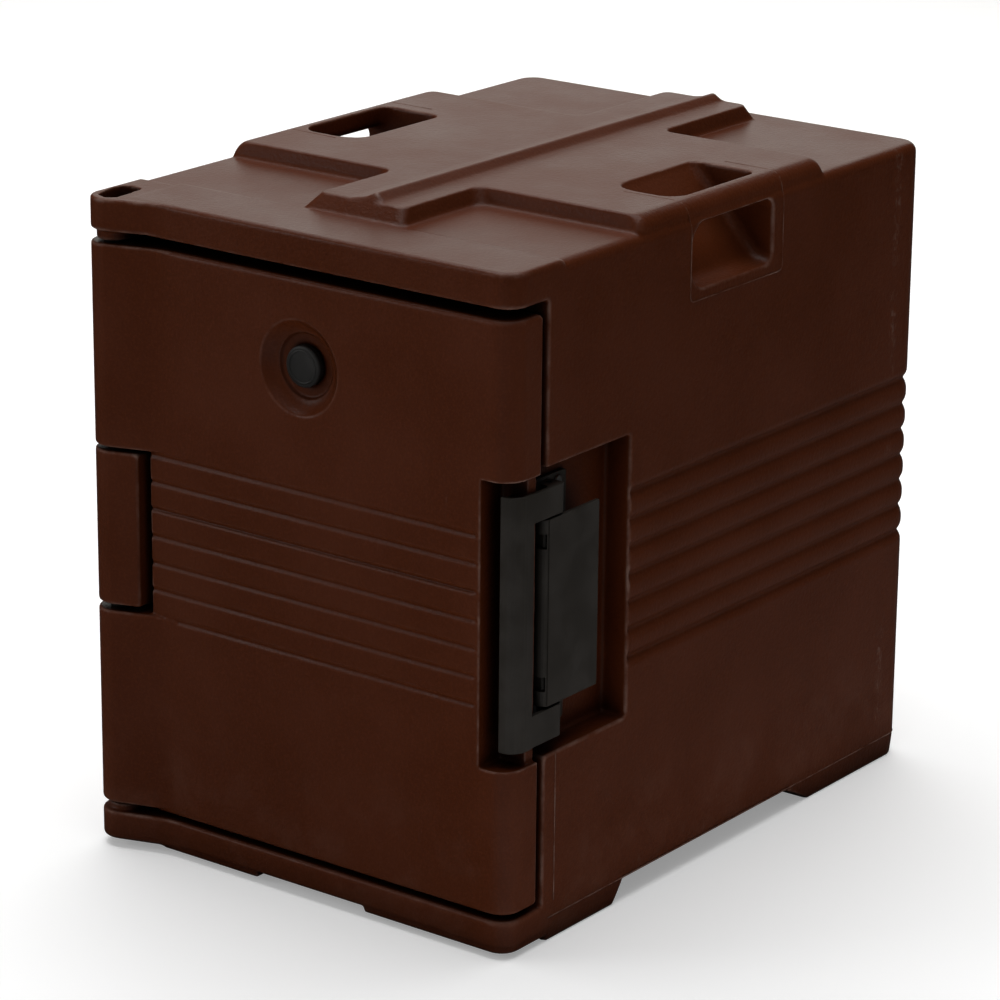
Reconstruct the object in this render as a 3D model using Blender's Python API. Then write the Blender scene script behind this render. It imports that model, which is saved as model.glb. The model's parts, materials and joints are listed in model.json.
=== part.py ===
"""Insulated front-loading food carrier: hollow foam-filled shell, hinged door, over-centre draw latch and steam vent.

Metres, +Z up, standing on z = 0. The door faces -Y, the latch is on +X and the hinge on -X. Dimensions are in mm.
"""

import math

import bmesh
import bpy
import numpy as np

MM = 0.001
SHELL_BACK = 8.15  # the shell's middle lies this far behind the origin, because the hinge stands out in front

# Shell
HALF_WIDTH = 228.5
FRONT = -317.5
REAR = 317.5
FLANGE = -267.0
TOP = 604.0
UNDERSIDE = 18.8
WALL = 4.5
CORNER = 22.0
VISOR_BOTTOM = 574.4
LEDGE_TOP = 35.5
LEDGE_BOTTOM = 11.0
PAD_BOTTOM = 5.3
PLATEAU = 618.0
BEAD_TOP = 625.4

# Food space
FOOD_HALF_WIDTH = 168.0
FOOD_BOTTOM = 58.0
FOOD_TOP = 548.0
FOOD_REAR = 267.0
RAIL_REACH = 14.0
RAIL_PAIRS = 8
RAIL_PITCH = 56.0
RAIL_FIRST = 100.0

# Ribs pressed into the door, the sides and the back
RIB_LOW = 227.5
RIB_PITCH = 25.03
RIB_LINES = 7
RIB_DEPTH = 2.4
RIB_START = -146.0

# Hinge
HINGE = (-207.0, -312.3)
KNUCKLE = 21.5
RAMP_TOP = (-200.0, -332.6)
RAMP_END = -155.7
PIN_RADIUS = 6.0
GAP = 0.3
POST_RIGHT = -176.0
POST_LOW = 234.0
POST_HIGH = 377.2
BARREL_RADIUS = 16.5
BARRELS = ((LEDGE_TOP - 4, 41.5), (566.6, VISOR_BOTTOM + 5))
WEBS = ((LEDGE_TOP - 4, 39.5), (566.6, VISOR_BOTTOM + 5))

# Door
DOOR_BACK = -275.5
DOOR_LOW = 40.4
DOOR_HIGH = 565.3
DOOR_LEFT = -167.5
NOTCH_LOW = 228.5
NOTCH_HIGH = 380.5
PLUG_HALF_WIDTH = 160.0
PLUG_LOW = 68.0
PLUG_HIGH = 538.0
PLUG_BACK = -252.0

# Vent in the door
VENT = (3.0, 487.0)
VENT_FLOOR = -303.0
CAP_FACE = -312.5
CAP_RADIUS = 18.5
STEM_RADIUS = 5.0

# Draw latch
RECESS_FLOOR = 202.0
RECESS_BACK = -147.0
RECESS_LOW = 174.0
RECESS_HIGH = 431.0
LEVER_PIVOT = (220.0, -259.0)
FRAME_PIVOT = (216.0, -248.0)
EARS = (238.0, 365.0)
SCREW_SPOTS = ((-236.0, 196.0), (-222.0, 405.0), (-222.0, 196.0), (-236.0, 405.0))

for leftover in list(bpy.data.objects):
    bpy.data.objects.remove(leftover)


# ---- shapes ----


def arc(centre, radius, start, end, steps):
    """Points of an arc, angles in degrees."""
    angles = np.radians(np.linspace(start, end, steps + 1))
    return [(centre[0] + radius * math.cos(a), centre[1] + radius * math.sin(a)) for a in angles]


def fillet(corners, steps=4):
    """An outline whose corners (x, y, radius) are rounded."""
    outline = []
    count = len(corners)
    for index, corner in enumerate(corners):
        radius = corner[2] if len(corner) > 2 else 0.0
        point = np.array(corner[:2], float)
        if radius == 0.0:
            outline.append(tuple(point))
            continue
        before = np.array(corners[index - 1][:2], float) - point
        after = np.array(corners[(index + 1) % count][:2], float) - point
        before /= np.linalg.norm(before)
        after /= np.linalg.norm(after)
        half = math.acos(float(np.clip(before @ after, -1, 1))) / 2
        middle = (before + after) / np.linalg.norm(before + after)
        centre = point + middle * radius / math.sin(half)
        first = point + before * radius / math.tan(half) - centre
        last = point + after * radius / math.tan(half) - centre
        turn = math.atan2(first[0] * last[1] - first[1] * last[0], float(first @ last))
        for step in range(steps + 1):
            angle = turn * step / steps
            spun = (
                first[0] * math.cos(angle) - first[1] * math.sin(angle),
                first[0] * math.sin(angle) + first[1] * math.cos(angle),
            )
            outline.append((centre[0] + spun[0], centre[1] + spun[1]))
    return outline


def inset(outline, distance):
    """The outline, counter-clockwise, moved inwards by a distance."""
    points = np.array(outline, float)
    along = np.roll(points, -1, axis=0) - points
    along /= np.linalg.norm(along, axis=1)[:, None]
    normal = np.stack([-along[:, 1], along[:, 0]], axis=1)
    previous = np.roll(normal, 1, axis=0)
    both = normal + previous
    shift = both / (1 + (normal * previous).sum(axis=1))[:, None]
    return [tuple(p) for p in points + shift * distance]


def mirrored(outline):
    return [(-x, y) for x, y in reversed(outline)]


def lift(outline, axis, level):
    """Outline points in space, at a level along an axis."""
    if axis == "x":
        return [(level, u, v) for u, v in outline]
    if axis == "y":
        return [(u, level, v) for u, v in outline]
    return [(u, v, level) for u, v in outline]


def loft(name, rings, closed=False):
    """A closed solid through rings of equally many points. A closed loft joins its last ring to its first."""
    body = bmesh.new()
    rows = []
    for ring in rings:
        row = []
        for x, y, z in ring:
            row.append(body.verts.new((x * MM, (y + SHELL_BACK) * MM, z * MM)))
        rows.append(row)
    count = len(rows[0])
    pairs = list(zip(rows, rows[1:]))
    if closed:
        pairs.append((rows[-1], rows[0]))
    else:
        body.faces.new(rows[0])
        body.faces.new(rows[-1])
    for low, high in pairs:
        for index in range(count):
            after = (index + 1) % count
            body.faces.new((low[index], low[after], high[after], high[index]))
    bmesh.ops.triangulate(body, faces=[face for face in body.faces if len(face.verts) == 4])
    bmesh.ops.recalc_face_normals(body, faces=body.faces)
    if body.calc_volume(signed=True) < 0:
        bmesh.ops.reverse_faces(body, faces=body.faces)
    mesh = bpy.data.meshes.new(name)
    body.to_mesh(mesh)
    body.free()
    solid = bpy.data.objects.new(name, mesh)
    bpy.context.scene.collection.objects.link(solid)
    return solid


def prism(name, outline, axis, low, high, low_edge=0.0, high_edge=0.0, steps=3):
    """An outline run along an axis, with rounded ends where an edge radius is given."""
    rings = []
    if low_edge:
        for step in range(steps + 1):
            angle = math.pi / 2 * step / steps
            level = low + low_edge * (1 - math.cos(angle))
            rings.append(lift(inset(outline, low_edge * (1 - math.sin(angle))), axis, level))
    else:
        rings.append(lift(outline, axis, low))
    if high_edge:
        for step in range(steps + 1):
            angle = math.pi / 2 * step / steps
            level = high - high_edge * (1 - math.sin(angle))
            rings.append(lift(inset(outline, high_edge * (1 - math.cos(angle))), axis, level))
    else:
        rings.append(lift(outline, axis, high))
    return loft(name, rings)


def box(name, xs, ys, zs):
    outline = [(xs[0], ys[0]), (xs[1], ys[0]), (xs[1], ys[1]), (xs[0], ys[1])]
    return prism(name, outline, "z", zs[0], zs[1])


def turned(name, centre, axis, profile, sides=24, closed=False):
    """A turned solid: profile points are (radius, level along the axis)."""
    rings = []
    for radius, level in profile:
        circle = arc(centre, radius, 0, 360, sides)[:-1]
        rings.append(lift(circle, axis, level))
    return loft(name, rings, closed)


def combine(target, tool, operation):
    """Joins a tool to a solid, or takes it away, and drops the tool."""
    change = target.modifiers.new("combine", "BOOLEAN")
    change.operation = operation
    change.solver = "EXACT"
    change.object = tool
    graph = bpy.context.evaluated_depsgraph_get()
    mesh = bpy.data.meshes.new_from_object(target.evaluated_get(graph))
    target.modifiers.clear()
    target.data = mesh
    bpy.data.objects.remove(tool)


def add(target, *tools):
    for tool in tools:
        combine(target, tool, "UNION")


def cut(target, *tools):
    for tool in tools:
        combine(target, tool, "DIFFERENCE")


def finish(solid, colour, roughness, metallic=0.0, pivot=None, sharp=35.0):
    """Material, shading, clean mesh and origin of a finished piece."""
    body = bmesh.new()
    body.from_mesh(solid.data)
    bmesh.ops.remove_doubles(body, verts=body.verts, dist=1e-6)
    bmesh.ops.dissolve_degenerate(body, edges=body.edges, dist=1e-6)
    body.to_mesh(solid.data)
    body.free()
    if pivot is not None:
        place = ((pivot[0]) * MM, (pivot[1] + SHELL_BACK) * MM, pivot[2] * MM)
        for vertex in solid.data.vertices:
            vertex.co.x -= place[0]
            vertex.co.y -= place[1]
            vertex.co.z -= place[2]
        solid.location = place
    material = bpy.data.materials.new(solid.name)
    material.use_nodes = True
    shader = material.node_tree.nodes["Principled BSDF"]
    shader.inputs["Base Color"].default_value = (*colour, 1.0)
    shader.inputs["Roughness"].default_value = roughness
    shader.inputs["Metallic"].default_value = metallic
    material.diffuse_color = (*colour, 1.0)
    solid.data.materials.clear()
    solid.data.materials.append(material)
    solid.data.shade_smooth()
    solid.data.set_sharp_from_angle(angle=math.radians(sharp))


BROWN = (0.040, 0.011, 0.006)
DARK_NYLON = (0.018, 0.016, 0.014)
FOAM = (0.75, 0.62, 0.38)
STEEL = (0.55, 0.55, 0.56)
RUBBER = (0.02, 0.02, 0.02)


def rib_levels():
    """(level, depth) pairs down the ribbed band."""
    levels = []
    for line in range(RIB_LINES):
        middle = RIB_LOW + line * RIB_PITCH
        levels += [(middle - 9, 0.0), (middle - 3.5, RIB_DEPTH * 0.3), (middle, RIB_DEPTH)]
        levels += [(middle + 3.5, RIB_DEPTH * 0.3), (middle + 9, 0.0)]
    return levels


def knuckle_outline(back, corner, right):
    """Plan of a knuckle, from the ramp round the pin to the back. A corner radius rounds the back left."""
    ramp_slope = (FRONT - RAMP_TOP[1]) / (RAMP_END - RAMP_TOP[0])
    outline = [(right, back)]
    if right > RAMP_END:
        outline += [(right, FRONT), (RAMP_END, FRONT)]
    else:
        outline.append((right, RAMP_TOP[1] + ramp_slope * (right - RAMP_TOP[0])))
    start = math.degrees(math.atan2(RAMP_TOP[1] - HINGE[1], RAMP_TOP[0] - HINGE[0]))
    outline += arc(HINGE, KNUCKLE, start, -180, 10)
    if corner:
        outline += arc((HINGE[0] - KNUCKLE + corner, back - corner), corner, 180, 90, 5)
    else:
        outline.append((HINGE[0] - KNUCKLE, back))
    return outline[::-1]


def pin_hole(low, high):
    return turned("hole", HINGE, "z", [(PIN_RADIUS + GAP, low), (PIN_RADIUS + GAP, high)])


# ---- shell ----


def shell_block():
    """The main block, ribbed on its sides and back, with a rounded top edge."""
    corners = [
        (-HALF_WIDTH, FLANGE),
        (HALF_WIDTH, FLANGE),
        (HALF_WIDTH, RIB_START - 4),
        (HALF_WIDTH, RIB_START + 4),
        (HALF_WIDTH, REAR, CORNER),
        (-HALF_WIDTH, REAR, CORNER),
        (-HALF_WIDTH, RIB_START + 4),
        (-HALF_WIDTH, RIB_START - 4),
    ]
    outline = fillet(corners, 6)
    rings = []
    for step in range(4):
        angle = math.pi / 2 * step / 3
        rings.append(lift(inset(outline, 6 * (1 - math.sin(angle))), "z", UNDERSIDE + 6 * (1 - math.cos(angle))))
    for level, depth in rib_levels():
        sunk = inset(outline, depth)
        ring = [deep if flat[1] > RIB_START else flat for flat, deep in zip(outline, sunk)]
        rings.append(lift(ring, "z", level))
    for step in range(5):
        angle = math.pi / 2 * step / 4
        rings.append(lift(inset(outline, 9 * (1 - math.cos(angle))), "z", TOP - 9 * (1 - math.sin(angle))))
    block = loft("body_shell", rings)
    return block


def plateau():
    """The raised cross on top, with sloping flanks, and the bead along its bar."""
    foot = (
        (58, -247), (58, -138), (227, -138), (227, 152), (58, 152), (58, 293),
        (-53, 293), (-53, 152), (-227, 152), (-227, -138), (-53, -138), (-53, -247),
    )
    top = (
        (51, -235), (51, -131), (213, -131), (213, 145), (51, 145), (51, 285),
        (-41.4, 285), (-41.4, 145), (-213, 145), (-213, -131), (-41.4, -131), (-41.4, -235),
    )
    cross = loft("cross", [lift(foot, "z", TOP - 3), lift(foot, "z", TOP - 0.2), lift(top, "z", PLATEAU)])
    profile = [(-8, PLATEAU - 3), (21.5, PLATEAU - 3), (21, PLATEAU), (17.5, BEAD_TOP - 1.2), (15.5, BEAD_TOP)]
    profile += [(12.5, BEAD_TOP - 0.2), (-8, PLATEAU + 0.2)]
    add(cross, prism("bead", profile, "y", -232, 280))
    return cross


def foot(side, front):
    """A foot with a sloping inner end."""
    if front:
        low = fillet([(150, -255), (226.5, -258), (227, -155), (150, -155)])
        high = fillet([(146, -262), (HALF_WIDTH, -262), (HALF_WIDTH, -145), (146, -145)])
    else:
        low = fillet([(150, 155), (227, 155), (227, 315.5, 20), (150, 315.5)])
        high = fillet([(146, 118), (HALF_WIDTH, 118), (HALF_WIDTH, REAR, CORNER), (146, REAR)])
    if side < 0:
        low = mirrored(low)
        high = mirrored(high)
    return loft("foot", [lift(low, "z", 0), lift(high, "z", UNDERSIDE + 0.5), lift(high, "z", UNDERSIDE + 7)])


def handle_pocket(side, grow=0.0):
    """The space round a grip bar: open at the top and at the side, with a sloping inner wall."""
    outline = [(200, 538, 4), (250, 538), (250, 598), (209, 598, 3), (209, 640), (140, 640), (140, 617, 3)]
    if grow:
        outline = [(200 - grow, 538 - grow), (250, 538 - grow), (250, 640), (140 - grow, 640), (140 - grow, 615)]
    outline = fillet(outline, 3)
    if side < 0:
        outline = mirrored(outline)
    return prism("pocket", outline, "y", -54 - grow, 61 + grow)


def latch_recess(grow=0.0):
    return box(
        "recess",
        (RECESS_FLOOR - grow, HALF_WIDTH + 20),
        (FLANGE - 20, RECESS_BACK + grow),
        (RECESS_LOW - grow, RECESS_HIGH + grow),
    )


def food_space(grow=0.0):
    half = FOOD_HALF_WIDTH + grow
    outline = [(half, FLANGE - 20), (half, FOOD_REAR + grow, 18), (-half, FOOD_REAR + grow, 18), (-half, FLANGE - 20)]
    return prism("space", fillet(outline), "z", FOOD_BOTTOM - grow, FOOD_TOP + grow)


def screw_hole(spot, radius, low, high):
    return turned("hole", spot, "x", [(radius, low), (radius, high)], 16)


def shell_foam(name, gap):
    """The foam between the two skins, smaller all round by a gap."""
    wide = HALF_WIDTH - WALL - RIB_DEPTH - gap
    ends = (FLANGE + WALL + gap, REAR - WALL - RIB_DEPTH - gap)
    outline = fillet([(-wide, ends[0]), (wide, ends[0]), (wide, ends[1], 16), (-wide, ends[1], 16)])
    foam = prism(name, outline, "z", UNDERSIDE + WALL + gap, TOP - 9 - gap)
    add(foam, box("riser", (-36 + gap, 46 - gap), (-228 + gap, 278 - gap), (TOP - 20, PLATEAU - 5 - gap)))
    cut(foam, food_space(WALL + gap), latch_recess(WALL + gap))
    for side in (-1, 1):
        cut(foam, handle_pocket(side, WALL + gap))
    for spot in SCREW_SPOTS:
        cut(foam, screw_hole(spot, 6.4 + gap, 184 - gap, 210))
    return foam


shell = shell_block()
visor = [(-190, FRONT), (HALF_WIDTH, FRONT, 20), (HALF_WIDTH, -238), (-190, -238)]
add(shell, prism("visor", fillet(visor, 6), "z", VISOR_BOTTOM, TOP, 3, 3))
add(shell, prism("visor_boss", knuckle_outline(-255, 0, -150), "z", VISOR_BOTTOM + 1.6, TOP, 1.5, 2))
ledge = [(-190, FRONT), (HALF_WIDTH, FRONT, 18), (HALF_WIDTH, -250), (-190, -250)]
add(shell, prism("ledge", fillet(ledge, 6), "z", LEDGE_BOTTOM, LEDGE_TOP, 2, 4))
add(shell, prism("ledge_boss", knuckle_outline(-255, 0, -150), "z", 8, LEDGE_TOP - 0.5, 1.5, 1.5))
left_pad = [(-160, FRONT + 1), (-49, FRONT + 1), (-49, -252), (-160, -252)]
right_pad = [(72, FRONT + 1), (HALF_WIDTH - 1, FRONT + 1, 17), (HALF_WIDTH - 1, -252), (72, -252)]
for pad in (left_pad, right_pad):
    add(shell, prism("pad", fillet(pad), "z", PAD_BOTTOM, LEDGE_BOTTOM + 8, 2))
add(shell, prism("post", knuckle_outline(-255, 0, POST_RIGHT), "z", POST_LOW, POST_HIGH, 1.5, 1.5))
for low, high in BARRELS:
    add(shell, turned("barrel", HINGE, "z", [(BARREL_RADIUS, low), (BARREL_RADIUS, high)]))
for low, high in WEBS:
    xs = (HINGE[0] - BARREL_RADIUS + 1, HINGE[0] + BARREL_RADIUS - 1)
    add(shell, box("web", xs, (HINGE[1], FLANGE + 3), (low, high)))
add(shell, plateau())
for side in (-1, 1):
    for front in (False, True):
        add(shell, foot(side, front))
cut(shell, food_space())
for pair in range(RAIL_PAIRS):
    level = RAIL_FIRST + pair * RAIL_PITCH
    for side in (-1, 1):
        inner = side * (FOOD_HALF_WIDTH - RAIL_REACH)
        outer = side * (FOOD_HALF_WIDTH + 1)
        xs = (min(inner, outer), max(inner, outer))
        add(shell, box("rail", xs, (FLANGE + 28, FOOD_REAR - 12), (level - 8, level)))
cut(shell, latch_recess())
for side in (-1, 1):
    cut(shell, handle_pocket(side))
slot = [(-218, -322, 3), (-206, -326, 3), (-198.5, -320, 3), (-199, -307), (-202, -283, 3), (-217, -281, 3)]
slot += [(-225, -285, 3), (-226, -296), (-224.5, -304)]
cut(shell, prism("slot", fillet(slot, 3), "z", 589.5, TOP + 20))
cut(shell, pin_hole(0, TOP - 5))
cut(shell, shell_foam("hollow", 0.0))
for spot in SCREW_SPOTS:
    cut(shell, screw_hole(spot, 2.8, 188, 220))
cut(shell, turned("port", (0, 0), "z", [(15, 10), (15, 30)]))
finish(shell, BROWN, 0.45)

finish(shell_foam("body_foam", GAP), FOAM, 0.9)
port_plug = turned("body_foam_plug", (0, 0), "z", [(14, 18.3), (14.7, 19), (14.7, 22.6), (14, 22.9)])
finish(port_plug, BROWN, 0.5)

# ---- hinge hardware ----

pin = [(5.2, 4.2), (PIN_RADIUS, 5), (PIN_RADIUS, 590), (7.4, 590), (7.4, 593.4), (6.2, 594.6)]
finish(turned("hinge_pin", HINGE, "z", pin), STEEL, 0.3, 1.0)
clip = [(PIN_RADIUS + GAP, 5.8), (11, 5.8), (11, 7.6), (PIN_RADIUS + GAP, 7.6)]
finish(turned("hinge_clip", HINGE, "z", clip, closed=True), STEEL, 0.35, 1.0)
washers = (
    ("hinge_washer_top", 561.8, 566.2),
    ("hinge_washer_upper", 377.5, 380.2),
    ("hinge_washer_lower", 228.8, 233.7),
    ("hinge_washer_bottom", 41.8, 45.2),
)
for name, low, high in washers:
    ring = [(PIN_RADIUS + GAP, low), (11, low), (11, high), (PIN_RADIUS + GAP, high)]
    finish(turned(name, HINGE, "z", ring, closed=True), DARK_NYLON, 0.4)

# ---- door ----

corners = [
    (DOOR_LEFT, FRONT),
    (193, FRONT),
    (198, FRONT),
    (HALF_WIDTH, FRONT, 21),
    (HALF_WIDTH, DOOR_BACK, 4),
    (DOOR_LEFT, DOOR_BACK),
]
outline = fillet(corners, 6)
rings = []
for step in range(4):
    angle = math.pi / 2 * step / 3
    rings.append(lift(inset(outline, 5 * (1 - math.sin(angle))), "z", DOOR_LOW + 5 * (1 - math.cos(angle))))
for level, depth in rib_levels():
    ring = [(x, y + depth) if x < 196 and y < FRONT + 1 else (x, y) for x, y in outline]
    rings.append(lift(ring, "z", level))
for step in range(4):
    angle = math.pi / 2 * step / 3
    rings.append(lift(inset(outline, 5 * (1 - math.cos(angle))), "z", DOOR_HIGH - 5 * (1 - math.sin(angle))))
door = loft("door_shell", rings)
for low, high in ((DOOR_LOW + 5.1, NOTCH_LOW), (NOTCH_HIGH, DOOR_HIGH - 3.8)):
    add(door, prism("knuckle", knuckle_outline(DOOR_BACK, 15, -150), "z", low, high, 1.5, 1.5))
plug = [(-PLUG_HALF_WIDTH, PLUG_LOW, 12), (PLUG_HALF_WIDTH, PLUG_LOW, 12)]
plug += [(PLUG_HALF_WIDTH, PLUG_HIGH, 12), (-PLUG_HALF_WIDTH, PLUG_HIGH, 12)]
add(door, prism("plug", fillet(plug), "y", DOOR_BACK - 2, PLUG_BACK, 0, 4))
cut(door, box("groove", (197, 240), (FRONT - 20, -287), (172, 427)))
cut(door, box("side_groove", (223.5, 240), (FRONT - 20, DOOR_BACK + 10), (172, 427)))
keeper = [(208, -302.5, 2), (223.5, -302.5, 11), (223.5, -280), (208, -280)]
add(door, prism("keeper", fillet(keeper), "z", 190, 410, 2, 2))
dish = [(42.8, FRONT - 1.3), (41, FRONT), (31, -310.3), (28.5, -309.5), (28.5, VENT_FLOOR - 1.5), (27, VENT_FLOOR)]
cut(door, turned("dish", VENT, "y", dish, 40))
cut(door, turned("stem_hole", VENT, "y", [(STEM_RADIUS + 0.6, -310), (STEM_RADIUS + 0.6, -240)]))
cut(door, pin_hole(0, TOP))


def door_foam(name, gap):
    """The foam inside the door, clear of the vent and of the latch groove."""
    front = FRONT + WALL + RIB_DEPTH + gap
    block = box(name, (-158 + gap, 190 - gap), (front, -280.5 - gap), (50 + gap, 556 - gap))
    inside = box(
        "inside",
        (-PLUG_HALF_WIDTH + WALL + gap, PLUG_HALF_WIDTH - WALL - gap),
        (-282 - gap, PLUG_BACK - WALL - gap),
        (PLUG_LOW + WALL + gap, PLUG_HIGH - WALL - gap),
    )
    add(block, inside)
    cut(block, turned("round_vent", VENT, "y", [(46 + gap, FRONT - 5), (46 + gap, VENT_FLOOR + WALL + gap)], 40))
    cut(block, turned("round_stem", VENT, "y", [(10 + gap, FRONT - 5), (10 + gap, PLUG_BACK + 5)]))
    return block


cut(door, door_foam("hollow", 0.0))
cut(door, turned("port", (0, -296), "z", [(10, 30), (10, 60)]))
hinge_place = (*HINGE, 300)
finish(door, BROWN, 0.45, pivot=hinge_place)
finish(door_foam("door_foam", GAP), FOAM, 0.9, pivot=hinge_place)
port_plug = turned("door_foam_plug", (0, -296), "z", [(9.2, 40), (9.7, 40.6), (9.7, 49.3), (9.2, 49.7)])
finish(port_plug, BROWN, 0.5, pivot=hinge_place)

inner = fillet([(-160.3, 67.7, 12), (160.3, 67.7, 12), (160.3, 538.3, 12), (-160.3, 538.3, 12)])
outer = fillet([(-171, 55, 14), (171, 55, 14), (171, 551, 14), (-171, 551, 14)])
seal = loft(
    "door_gasket",
    [lift(inner, "y", -275.2), lift(outer, "y", -275.2), lift(inset(outer, 1.5), "y", -267.5), lift(inner, "y", -269.5)],
    closed=True,
)
finish(seal, RUBBER, 0.7, pivot=hinge_place)

# ---- vent ----

vent_place = (VENT[0], CAP_FACE, VENT[1])
cap = [(16.4, CAP_FACE), (17.8, CAP_FACE + 0.6), (CAP_RADIUS, CAP_FACE + 2), (CAP_RADIUS, -305.6)]
vent_cap = turned("vent_cap", VENT, "y", cap, 32)
cut(vent_cap, turned("socket", VENT, "y", [(STEM_RADIUS + GAP, -309.4), (STEM_RADIUS + GAP, -300)]))
finish(vent_cap, (0.03, 0.03, 0.032), 0.5, pivot=vent_place)
ring = [(9, -305.3), (15, -305.3), (15, -303.3), (9, -303.3)]
finish(turned("vent_seal", VENT, "y", ring, closed=True), RUBBER, 0.7, pivot=hinge_place)
stem = [(STEM_RADIUS, -309.1), (STEM_RADIUS, -241), (4.2, -240.2)]
finish(turned("vent_stem", VENT, "y", stem), DARK_NYLON, 0.4, pivot=vent_place)
hexagon = [(11, -246.4), (11, -242.4)]
vent_nut = turned("vent_nut", VENT, "y", hexagon, 6)
cut(vent_nut, turned("bore", VENT, "y", [(STEM_RADIUS + GAP, -250), (STEM_RADIUS + GAP, -235)]))
finish(vent_nut, DARK_NYLON, 0.4, pivot=vent_place)

# ---- draw latch ----

base_outline = fillet([(-262, 188, 3), (-209, 188, 3), (-209, 412.5, 3), (-262, 412.5, 3)])
base = prism("latch_base", base_outline, "x", RECESS_FLOOR + GAP, 206, 0, 1)
for level in EARS:
    ear = [(205, -262), (213, -262)] + arc(LEVER_PIVOT, 5.5, -60, 110, 8) + [(213, -257), (205, -258)]
    add(base, prism("ear", ear, "z", level - 6, level + 6))
cut(base, turned("bore", LEVER_PIVOT, "z", [(2.8, 200), (2.8, 400)], 16))
for spot in SCREW_SPOTS:
    cut(base, screw_hole(spot, 2.8, 195, 215))
finish(base, DARK_NYLON, 0.5)
for index, spot in enumerate(SCREW_SPOTS):
    shank = [(2.0, 188.6), (2.5, 189.4), (2.5, 206.3), (4.6, 206.3), (4.2, 208.0), (2.6, 208.9)]
    finish(turned(f"latch_screw_{index + 1}", spot, "x", shank, 16), STEEL, 0.3, 1.0)
pivot_pin = [(2.1, 227.6), (2.5, 228), (2.5, 375), (2.1, 375.4)]
finish(turned("latch_pivot_pin", LEVER_PIVOT, "z", pivot_pin, 16), STEEL, 0.3, 1.0)

lever_place = (*LEVER_PIVOT, 301)
flap = fillet([(223.6, -250), (228, -262), (228, -190, 1.8), (223.6, -190, 1.8)])
lever = prism("latch_lever", flap, "z", 217.5, 384.5, 1, 1)
knuckle = arc(LEVER_PIVOT, 8, -180, 20, 12) + [(228, -245), (224.5, -241)] + arc(FRAME_PIVOT, 5, 70, 200, 6)
add(lever, prism("knuckle", knuckle, "z", 217.5, 384.5, 1, 1))
for level in EARS:
    ear_space = arc(LEVER_PIVOT, 6.0, -34, 135, 14) + arc(LEVER_PIVOT, 9.6, 135, 326, 14)
    cut(lever, prism("ear_space", ear_space, "z", level - 6.5, level + 6.5))
cut(lever, turned("bore", LEVER_PIVOT, "z", [(2.8, 200), (2.8, 400)], 16))
cut(lever, turned("bore", FRAME_PIVOT, "z", [(2.8, 200), (2.8, 400)], 16))
finish(lever, DARK_NYLON, 0.5, pivot=lever_place)
frame_pin = [(2.1, 188.6), (2.5, 189), (2.5, 410), (2.1, 410.4)]
finish(turned("latch_frame_pin", FRAME_PIVOT, "z", frame_pin, 16), STEEL, 0.3, 1.0, pivot=lever_place)

frame_place = (*FRAME_PIVOT, 300)
bar = fillet(
    [(211, -307.5), (228.5, -307.5, 15), (228.5, -284), (224.5, -284), (224.5, -303.5, 11), (211, -303.5)], 6
)
frame = prism("latch_frame", bar, "z", 186, 413, 1.2, 1.2)
arm = fillet(
    [(228.2, -290), (228.2, -240, 5), (210.5, -240, 6), (210.5, -256, 5), (224.2, -259, 3), (224.2, -290)], 4
)
for low, high in ((186.8, 215.5), (386.5, 412.2)):
    add(frame, prism("arm", arm, "z", low, high, 0.5, 0.5))
cut(frame, turned("bore", FRAME_PIVOT, "z", [(2.8, 180), (2.8, 420)], 16))
finish(frame, DARK_NYLON, 0.5, pivot=frame_place)
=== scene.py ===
"""Looks of the insulated food carrier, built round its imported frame.

Dimensions are in mm, and y runs from the middle of the shell's depth. Values in materials are in metres.
"""

import json
import math

import bmesh
import bpy
import numpy as np
from mathutils import Matrix, Vector


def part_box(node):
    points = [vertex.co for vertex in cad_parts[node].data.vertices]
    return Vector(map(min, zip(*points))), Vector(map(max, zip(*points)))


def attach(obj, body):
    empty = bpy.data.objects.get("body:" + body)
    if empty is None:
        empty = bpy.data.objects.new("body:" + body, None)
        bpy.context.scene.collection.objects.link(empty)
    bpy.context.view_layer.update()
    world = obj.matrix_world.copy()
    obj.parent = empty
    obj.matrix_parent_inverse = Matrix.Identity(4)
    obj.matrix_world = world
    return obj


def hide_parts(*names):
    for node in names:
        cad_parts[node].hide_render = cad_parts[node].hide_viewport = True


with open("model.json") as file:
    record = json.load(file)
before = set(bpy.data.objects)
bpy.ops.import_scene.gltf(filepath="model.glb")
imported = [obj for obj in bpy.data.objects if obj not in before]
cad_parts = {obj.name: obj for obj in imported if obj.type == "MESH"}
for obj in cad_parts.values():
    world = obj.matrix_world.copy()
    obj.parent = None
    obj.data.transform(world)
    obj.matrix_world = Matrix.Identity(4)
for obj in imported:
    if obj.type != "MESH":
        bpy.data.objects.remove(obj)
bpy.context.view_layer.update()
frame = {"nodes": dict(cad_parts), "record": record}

# ---- dimensions ----

MM = 0.001
HALF_WIDTH = 228.5
FRONT = -317.5
REAR = 317.5
REAR_CORNER = 22
FLANGE = -267.0
UNDERSIDE = 18.8
TOP = 604.0
PLATEAU = 618.0
VISOR_BOTTOM = 574.4
LEDGE_TOP = 35.5
WALL_INSIDE = 168
RAIL_PAIRS = 8
RAIL_LOW = 100
RAIL_PITCH = 56
RAIL_HEIGHT = 8

RIBS = 6
RIB_LOW = 227.5
RIB_PITCH = 25.03
RIB_DEPTH = 4.2
RIB_START = -146.0
RIB_ROUNDNESS = 2.6
GROOVE_DEPTH = 2.6

HINGE = (-207.0, -312.3)
PIN_HOLE = 6.9
BARREL = 16.5
KNUCKLE = 21.5
RAMP_TOP = (-200.0, -332.6)
RAMP_END = -155.7
BOSS_BACK = -255
BOSS_RIGHT = -140

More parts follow.
